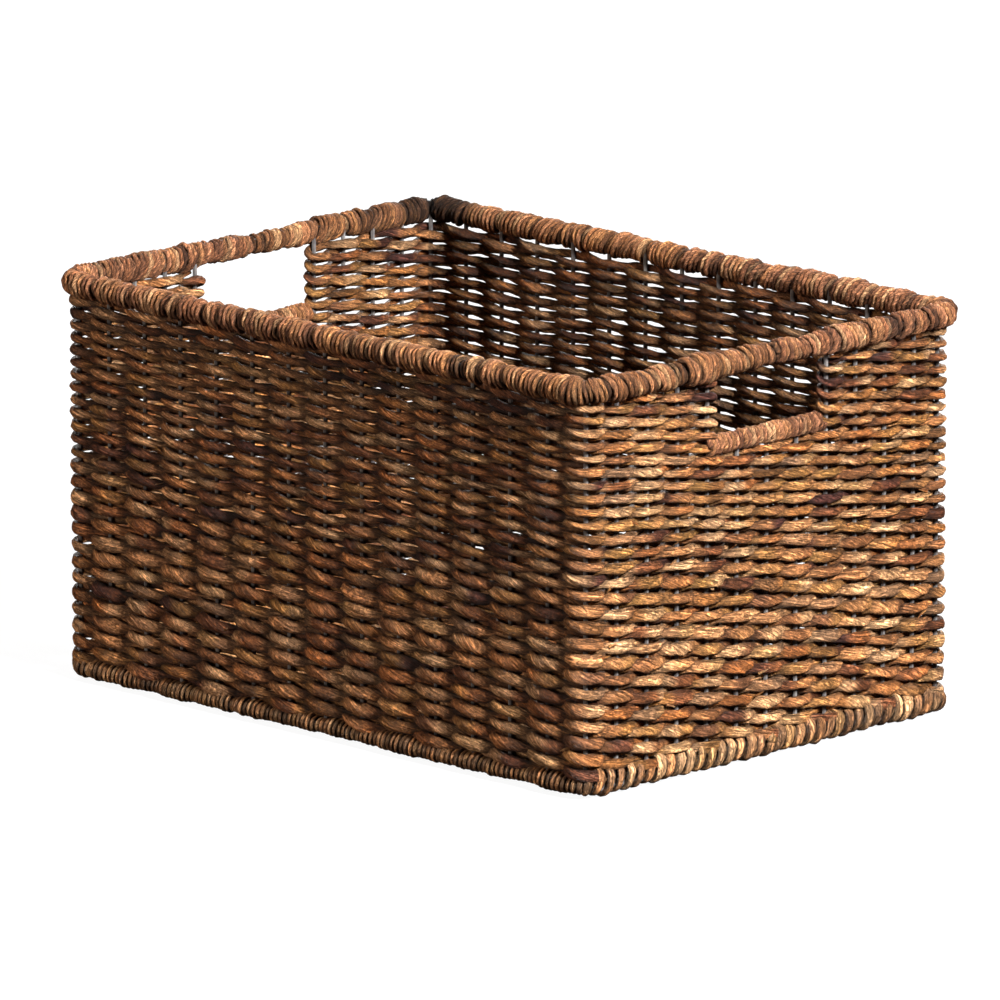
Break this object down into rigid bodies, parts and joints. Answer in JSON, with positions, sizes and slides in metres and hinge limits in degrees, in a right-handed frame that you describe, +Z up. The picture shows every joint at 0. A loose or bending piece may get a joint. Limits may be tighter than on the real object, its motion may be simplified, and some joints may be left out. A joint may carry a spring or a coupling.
{
  "type": "open woven storage basket",
  "caption": "Open rectangular storage basket, bark strips woven on a wire frame, with twine-wrapped rims and a hand hole in each short end.",
  "frame": {"origin": "on the ground under the middle of the basket", "axes": "+X along the length, towards the right-hand end; +Y across the width, towards the back; +Z up"},
  "size_m": [0.457, 0.33, 0.254],
  "materials": {
    "bark": "dried bark strips, matt with a slight sheen",
    "twine": "matt twisted plant-fibre twine",
    "iron": "dark grey drawn wire"
  },
  "bodies": {
    "root": {"top_rim_rod": "iron", "base_rim_rod": "iron", "top_rim_wrap": "twine", "base_rim_wrap": "twine", "cross_wire_1": "iron", "cross_wire_2": "iron", "cross_wire_3": "iron", "cross_wire_4": "iron", "cross_wire_5": "iron", "cross_wire_6": "iron", "cross_wire_7": "iron", "cross_wire_8": "iron", "cross_wire_9": "iron", "cross_wire_10": "iron", "cross_wire_11": "iron", "cross_wire_12": "iron", "cross_wire_13": "iron", "left_stake_1": "iron", "left_stake_2": "iron", "left_stake_3": "iron", "left_stake_4": "iron", "left_stake_5": "iron", "left_stake_6": "iron", "left_stake_7": "iron", "left_stake_8": "iron", "left_stake_9": "iron", "left_stake_10": "iron", "left_stake_11": "iron", "right_stake_1": "iron", "right_stake_2": "iron", "right_stake_3": "iron", "right_stake_4": "iron", "right_stake_5": "iron", "right_stake_6": "iron", "right_stake_7": "iron", "right_stake_8": "iron", "right_stake_9": "iron", "right_stake_10": "iron", "right_stake_11": "iron", "corner_post_1": "iron", "corner_post_2": "iron", "corner_post_3": "iron", "corner_post_4": "iron", "left_grip_rod": "iron", "left_grip_wrap": "twine", "right_grip_rod": "iron", "right_grip_wrap": "twine", "woven_wall_lower": "bark", "woven_wall_upper_front": "bark", "woven_wall_upper_back": "bark", "woven_floor": "bark"}
  },
  "joints": []
}
